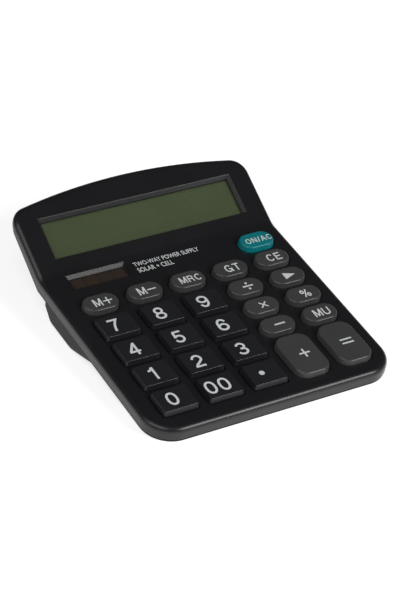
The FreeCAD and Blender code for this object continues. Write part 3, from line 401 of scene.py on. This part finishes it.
# The key legends are drawn as strokes of even width, in units of their own height. "-" is minus, "x" is
# multiply, ":" is divide and ">" is the backspace arrow, a triangle.
STROKE = 0.142                        # stroke width
SHEET = 0.02                          # thickness of a stroke, before lay_on makes it the ink's
LEVEL_STEP = 0.002                    # crossing strokes lie at different heights
LOW, HIGH = STROKE / 2, 1 - STROKE / 2
EDGE = STROKE / 2                     # centre line of a glyph's left stroke
LETTER_SPACE = 0.17
DOT_SIDES = 24
DOT_RADIUS = {".": 0.17, ":": 0.105}


def arc(x, y, across, up, start, end, steps=18):
    """Points round an ellipse, by angles in degrees from its right side."""
    turns = [math.radians(start + (end - start) * i / steps) for i in range(steps + 1)]
    return [(x + across * math.cos(turn), y + up * math.sin(turn)) for turn in turns]


def ring(x, y, across, up, squareness=2.0, steps=40):
    """A closed loop between an ellipse (2) and a rectangle (more)."""
    points = []
    for i in range(steps):
        turn = 2 * math.pi * i / steps
        c, s = math.cos(turn), math.sin(turn)
        points.append((x + across * math.copysign(abs(c) ** (2 / squareness), c),
                       y + up * math.copysign(abs(s) ** (2 / squareness), s)))
    return points + [points[0]]


def turned(strokes, width):
    """The same strokes turned upside down within their width."""
    return [[(width - x, 1 - y) for x, y in stroke] for stroke in strokes]


SIX = [ring(0.35, 0.315, 0.272, 0.238),
       arc(0.36, 0.50, 0.282, HIGH - 0.5, 32, 180) + [(EDGE, 0.42), (EDGE, 0.32)]]
GLYPHS = {
    "0": (0.70, [ring(0.35, 0.5, 0.272, HIGH - 0.5, 2.3)]),
    "1": (0.52, [[(0.38, 0.0), (0.38, 1.0)], [(0.06, 0.745), (0.20, 0.77), (0.30, 0.84), (0.35, 0.97)]]),
    "2": (0.68, [arc(0.34, 0.66, 0.262, HIGH - 0.66, 172, -28) + [(0.42, 0.40), (0.16, 0.20), (0.10, LOW)],
                 [(0.02, LOW), (0.66, LOW)]]),
    "3": (0.68, [arc(0.33, 0.715, 0.235, HIGH - 0.715, 165, -90) + [(0.26, 0.515)],
                 [(0.26, 0.515)] + arc(0.33, 0.295, 0.272, 0.22, 90, -168)]),
    "4": (0.70, [[(0.70, 0.28), (0.02, 0.28)], [(0.075, 0.29), (0.49, 0.96)], [(0.50, 0.0), (0.50, 1.0)]]),
    "5": (0.68, [[(0.63, HIGH), (0.13, HIGH)], [(0.17, HIGH), (0.13, 0.45)],
                 arc(0.345, 0.335, 0.265, 0.258, 148, -165)]),
    "6": (0.70, SIX),
    "7": (0.66, [[(0.02, HIGH), (0.58, HIGH), (0.44, 0.71), (0.32, 0.45), (0.25, 0.22), (0.22, 0.0)]]),
    "8": (0.70, [ring(0.35, 0.715, 0.225, HIGH - 0.715), ring(0.35, 0.285, 0.272, 0.285 - LOW)]),
    "9": (0.70, turned(SIX, 0.70)),
    ".": (0.36, [[(0.18, 0.5)]]),
    "M": (0.82, [[(EDGE, 0.0), (EDGE, 1.0)], [(0.10, 0.99), (0.41, 0.06)], [(0.72, 0.99), (0.41, 0.06)],
                 [(0.82 - EDGE, 0.0), (0.82 - EDGE, 1.0)]]),
    "R": (0.70, [[(EDGE, 0.0), (EDGE, 1.0)],
                 [(EDGE, HIGH), (0.40, HIGH)] + arc(0.40, 0.71, 0.20, HIGH - 0.71, 80, -80) + [(EDGE, 0.49)],
                 [(0.42, 0.49), (0.56, 0.36), (0.62, 0.0)]]),
    "C": (0.74, [arc(0.38, 0.5, 0.30, HIGH - 0.5, 38, 322, 30)]),
    "G": (0.78, [arc(0.38, 0.5, 0.30, HIGH - 0.5, 38, 335, 30) + [(0.68, 0.44), (0.40, 0.44)],
                 [(0.70, 0.48), (0.70, 0.0)]]),
    "T": (0.66, [[(0.0, HIGH), (0.66, HIGH)], [(0.33, 0.0), (0.33, HIGH)]]),
    "E": (0.62, [[(0.62, HIGH), (EDGE, HIGH), (EDGE, LOW), (0.62, LOW)], [(EDGE, 0.52), (0.57, 0.52)]]),
    "U": (0.72, [[(EDGE, 1.0)] + arc(0.36, 0.35, 0.36 - EDGE, 0.35 - LOW, 180, 360) + [(0.72 - EDGE, 1.0)]]),
    "O": (0.80, [ring(0.40, 0.5, 0.322, HIGH - 0.5)]),
    "N": (0.72, [[(EDGE, 0.0), (EDGE, 1.0)], [(EDGE + 0.02, 0.98), (0.70 - EDGE, 0.02)],
                 [(0.72 - EDGE, 0.0), (0.72 - EDGE, 1.0)]]),
    "A": (0.72, [[(0.05, 0.0), (0.35, 1.0)], [(0.67, 0.0), (0.37, 1.0)], [(0.15, 0.30), (0.57, 0.30)]]),
    "/": (0.32, [[(0.02, -0.02), (0.30, 1.02)]]),
    "%": (1.00, [ring(0.22, 0.74, 0.145, 0.19), ring(0.78, 0.26, 0.145, 0.19),
                 [(0.28, -0.02), (0.72, 1.02)]]),
    "+": (0.90, [[(0.0, 0.5), (0.90, 0.5)], [(0.45, 0.05), (0.45, 0.95)]]),
    "-": (0.90, [[(0.0, 0.5), (0.90, 0.5)]]),
    "=": (1.00, [[(0.0, 0.70), (1.0, 0.70)], [(0.0, 0.30), (1.0, 0.30)]]),
    "x": (0.84, [[(0.07, 0.15), (0.77, 0.85)], [(0.07, 0.85), (0.77, 0.15)]]),
    ":": (0.90, [[(0.0, 0.5), (0.90, 0.5)], [(0.45, 0.82)], [(0.45, 0.18)]]),
}


def ribbon(shape, stroke, width, level):
    """Adds a stroke of even width and thickness to a bmesh, mitred at its corners."""
    closed = stroke[0] == stroke[-1]
    points = [Vector(point) for point in (stroke[:-1] if closed else stroke)]
    count = len(points)
    sides = []
    for i, point in enumerate(points):
        before = points[i - 1] if closed or i else None
        after = points[(i + 1) % count] if closed or i + 1 < count else None
        into = (point - before).normalized() if before is not None else (after - point).normalized()
        onward = (after - point).normalized() if after is not None else into
        across = Vector((-(into + onward).y, (into + onward).x)).normalized()
        reach = width / 2 / max(0.5, across.dot(Vector((-into.y, into.x))))
        sides.append([(point + across * reach * side) for side in (1, -1)])
    rows = [[shape.verts.new((side.x, side.y, z)) for side in pair for z in (level, level + SHEET)]
            for pair in sides]
    for i in range(count if closed else count - 1):
        a, b = rows[i], rows[(i + 1) % count]
        for first, second in ((1, 3), (3, 2), (2, 0), (0, 1)):
            shape.faces.new((a[first], a[second], b[second], b[first]))
    if not closed:
        for row in (rows[0], rows[-1]):
            shape.faces.new((row[0], row[1], row[3], row[2]))


def prism(shape, outline, level):
    """Adds a flat shape with the thickness of a stroke to a bmesh."""
    count = len(outline)
    lower, upper = ([shape.verts.new((x, y, z)) for x, y in outline] for z in (level, level + SHEET))
    shape.faces.new(lower)
    shape.faces.new(upper)
    for i in range(count):
        j = (i + 1) % count
        shape.faces.new((lower[i], lower[j], upper[j], upper[i]))


def dot(shape, centre, radius, level):
    """Adds a round dot to a bmesh."""
    turns = [2 * math.pi * i / DOT_SIDES for i in range(DOT_SIDES)]
    rim = [(centre[0] + radius * math.cos(turn), centre[1] + radius * math.sin(turn)) for turn in turns]
    prism(shape, rim, level)


def finished_mesh(shape, name):
    """The mesh of a bmesh, with its faces turned outward."""
    bmesh.ops.recalc_face_normals(shape, faces=shape.faces)
    mesh = bpy.data.meshes.new(name)
    shape.to_mesh(mesh)
    shape.free()
    return mesh


def glyph_mesh(words):
    """Words in the stroke alphabet, as a thin flat mesh."""
    shape = bmesh.new()
    pen = 0.0
    level = 0.0
    for letter in words:
        width, strokes = GLYPHS[letter]
        for stroke in strokes:
            placed = [(x + pen, y) for x, y in stroke]
            if len(placed) == 1:
                dot(shape, placed[0], DOT_RADIUS[letter], level)
            else:
                ribbon(shape, placed, STROKE, level)
            level += LEVEL_STEP
        pen += width + LETTER_SPACE
        level = 0.0
    return finished_mesh(shape, "glyphs")


def triangle_mesh():
    """A solid triangle that points to the right."""
    shape = bmesh.new()
    prism(shape, [(0.0, 0.0), (1.2, 0.46), (0.0, 0.92)], 0.0)
    return finished_mesh(shape, "triangle")


def lay_on(mesh, middle, back, up, scale):
    """Scales a flat mesh, and lays it on a face with its own middle on the face's middle."""
    points = [vertex.co for vertex in mesh.vertices]
    low = Vector(min(point[i] for point in points) for i in range(3))
    high = Vector(max(point[i] for point in points) for i in range(3))
    depth = INK_THICK / (high.z - low.z)
    shift = Matrix.Translation(-Vector(((low.x + high.x) / 2, (low.y + high.y) / 2, low.z)))
    size = Matrix.Diagonal((scale, scale, depth, 1.0))
    axes = Matrix((RIGHT, back, up)).transposed().to_4x4()
    place = Matrix.Translation(middle + up * LEGEND_GAP)
    mesh.transform(place @ axes @ size @ shift)
    return mesh


DIGIT_HEIGHT = 7.3 * MM
LETTER_HEIGHT = 4.6 * MM
LONG_WORD_HEIGHT = {3: 4.0 * MM, 5: 3.3 * MM}
SYMBOL_HEIGHT = 5.7 * MM
DIGIT_SHIFT = (-1.4 * MM, -0.1 * MM)  # the digits are printed a little left of and below the middle
LETTER_SHIFT = (0.8 * MM, -0.3 * MM)  # the other legends a little to the right
LEGENDS = {
    "m_plus": "M+", "m_minus": "M-", "mrc": "MRC", "gt": "GT", "ce": "CE", "mu": "MU", "on_ac": "ON/AC",
    "percent": "%", "divide": ":", "multiply": "x", "minus": "-", "plus": "+", "equals": "=", "point": ".",
    "00": "00", "backspace": ">",
}
LEGENDS.update({str(digit): str(digit) for digit in range(10)})


def print_legends():
    for key, words in LEGENDS.items():
        if words.isdigit() or words == ".":
            scale, shift, slot = DIGIT_HEIGHT, DIGIT_SHIFT, "digit_key"
        elif words[0].isalpha() or words in "%>":
            scale, shift, slot = LONG_WORD_HEIGHT.get(len(words), LETTER_HEIGHT), LETTER_SHIFT, "function_key"
        else:
            scale, shift, slot = SYMBOL_HEIGHT, LETTER_SHIFT, "function_key"
        middle = top_of("key_" + key, DECK_UP, DECK_BACK) + RIGHT * shift[0] + DECK_BACK * shift[1]
        shape = triangle_mesh() if words == ">" else glyph_mesh(words)
        mesh = lay_on(shape, middle, DECK_BACK, DECK_UP, scale)
        new_piece("legend_" + key, mesh, INK, "key_" + key)


print_legends()


NOTE_GAP = 3.6 * MM                   # between the solar cell and the note
NOTE_SQUEEZE = 0.70
NOTE_LINES = [                        # name, words, width, row above the solar cell's middle
    ("upper", "TWO-WAY POWER SUPPLY", 32.5 * MM, 1.1 * MM),
    ("lower", "SOLAR + CELL", 17.5 * MM, -2.9 * MM),
]


def print_note():
    """A two-line note on how the calculator is powered, beside the solar cell."""
    low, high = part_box("solar_cell")
    level = max(point.dot(DECK_UP) for point in corners("upper_housing") if point.y < low.y)
    left = high.x + NOTE_GAP
    middle_row = ((low + high) / 2).dot(DECK_BACK)
    for name, words, width, row in NOTE_LINES:
        mesh = text_mesh(words, NOTE_SQUEEZE)
        xs = [vertex.co.x for vertex in mesh.vertices]
        middle = RIGHT * (left + width / 2) + DECK_BACK * (middle_row + row) + DECK_UP * level
        lay_on(mesh, middle, DECK_BACK, DECK_UP, width / (max(xs) - min(xs)))
        new_piece("power_note_" + name, mesh, INK, "case")


print_note()

# ---------------------------------------------------------------- floor and light
FLOOR_REACH = 9.0                     # from the middle to each side


def add_floor():
    mesh = bpy.data.meshes.new("floor")
    square = [(x * FLOOR_REACH, y * FLOOR_REACH, 0.0) for x, y in ((-1, -1), (1, -1), (1, 1), (-1, 1))]
    mesh.from_pydata(square, [], [(0, 1, 2, 3)])
    floor = bpy.data.objects.new("floor", mesh)
    floor.location.z = cad_box[0].z
    scene.collection.objects.link(floor)
    pale = mottled("pale_floor", (0.84, 0.84, 0.84), (0.86, 0.86, 0.86), 0.7, scale=20.0,
                   emission_color=(1.0, 1.0, 1.0), emission_strength=0.64)
    mesh.materials.append(pale)


def add_light(name, place, aim, width, height, power):
    data = bpy.data.lights.new(name, "AREA")
    data.shape = "RECTANGLE"
    data.size = width
    data.size_y = height
    data.energy = power
    light = bpy.data.objects.new(name, data)
    light.location = place
    light.rotation_euler = (Vector(aim) - Vector(place)).to_track_quat("-Z", "Y").to_euler()
    scene.collection.objects.link(light)


add_floor()
add_light("high_left", (-0.85, -0.45, 1.15), (0, 0, 0), 1.2, 1.0, 8.5)
add_light("front_right", (0.60, -0.98, 0.72), (0, 0, 0.02), 0.55, 0.5, 9.5)
add_light("left", (-1.00, 0.10, 0.62), (0, 0, 0.02), 0.5, 0.5, 1.0)
world = bpy.data.worlds.new("studio")
world.use_nodes = True
background = world.node_tree.nodes["Background"]
background.inputs["Color"].default_value = (1.0, 1.0, 1.0, 1.0)
background.inputs["Strength"].default_value = 0.07
scene.world = world
scene.view_settings.view_transform = "Standard"
